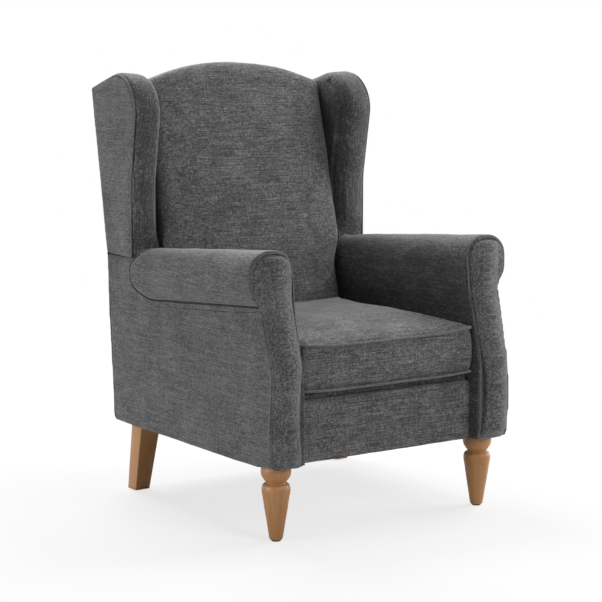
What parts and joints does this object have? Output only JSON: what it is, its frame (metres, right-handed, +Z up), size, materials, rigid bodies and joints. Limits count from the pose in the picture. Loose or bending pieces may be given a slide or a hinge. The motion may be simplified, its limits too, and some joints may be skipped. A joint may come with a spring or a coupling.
{
  "type": "wingback armchair",
  "caption": "Upholstered wingback armchair with scroll arms, an arched inside back, a loose piped seat cushion, turned front legs and square raked rear legs.",
  "frame": {"origin": "centre of the bounding box at floor level, under the legs", "axes": "+Z up; the chair faces -Y, so +Y points to its back; +X points to the right of someone who looks at its front"},
  "size_m": [0.7066, 0.8024, 1.03],
  "materials": {
    "upholstery": "matte",
    "piping": "matte",
    "lining": "matte",
    "foam": "matte",
    "felt": "matte",
    "webbing": "matte",
    "frame_wood": "matte",
    "leg_wood": "satin",
    "spring_steel": "satin",
    "glide_plastic": "matte",
    "zip_tape": "matte",
    "zip_metal": "satin"
  },
  "bodies": {
    "frame": {"apron": "upholstery", "back_cover": "upholstery", "back_foam": "foam", "back_straps": "webbing", "deck_cloth": "lining", "deck_felt": "felt", "deck_foam": "foam", "dust_cover": "lining", "front_seat_rail": "frame_wood", "glides": "glide_plastic", "left_arm_cover": "upholstery", "left_arm_facing": "upholstery", "left_arm_foam": "foam", "left_arm_foot": "upholstery", "left_arm_post": "frame_wood", "left_arm_rail": "frame_wood", "left_back_post": "frame_wood", "left_facing_welt": "piping", "left_front_leg": "leg_wood", "left_rear_leg": "leg_wood", "left_seat_rail": "frame_wood", "left_side_panel": "upholstery", "left_wing_board": "frame_wood", "left_wing_cover": "upholstery", "left_wing_foam": "foam", "left_wing_welt": "piping", "leg_blocks": "frame_wood", "leg_bolts": "spring_steel", "leg_plates": "spring_steel", "lower_back_rail": "frame_wood", "outside_back": "upholstery", "rear_seat_rail": "frame_wood", "right_arm_cover": "upholstery", "right_arm_facing": "upholstery", "right_arm_foam": "foam", "right_arm_foot": "upholstery", "right_arm_post": "frame_wood", "right_arm_rail": "frame_wood", "right_back_post": "frame_wood", "right_facing_welt": "piping", "right_front_leg": "leg_wood", "right_rear_leg": "leg_wood", "right_seat_rail": "frame_wood", "right_side_panel": "upholstery", "right_wing_board": "frame_wood", "right_wing_cover": "upholstery", "right_wing_foam": "foam", "right_wing_welt": "piping", "seat_springs": "spring_steel", "spring_clips": "spring_steel", "top_back_rail": "frame_wood"},
    "cushion": {"cushion_foam": "foam", "cushion_cover": "upholstery", "cushion_top_welt": "piping", "cushion_bottom_welt": "piping", "zip_tape": "zip_tape"},
    "zip_slider": {"zip_slider": "zip_metal"}
  },
  "joints": [
    {"name": "cushion_lift", "type": "slide", "parent": "frame", "child": "cushion", "axis": [0, 0, 1], "range_m": [0, 0.3]},
    {"name": "zip_slide", "type": "slide", "parent": "cushion", "child": "zip_slider", "axis": [1, 0, 0], "range_m": [0, 0.367]}
  ]
}
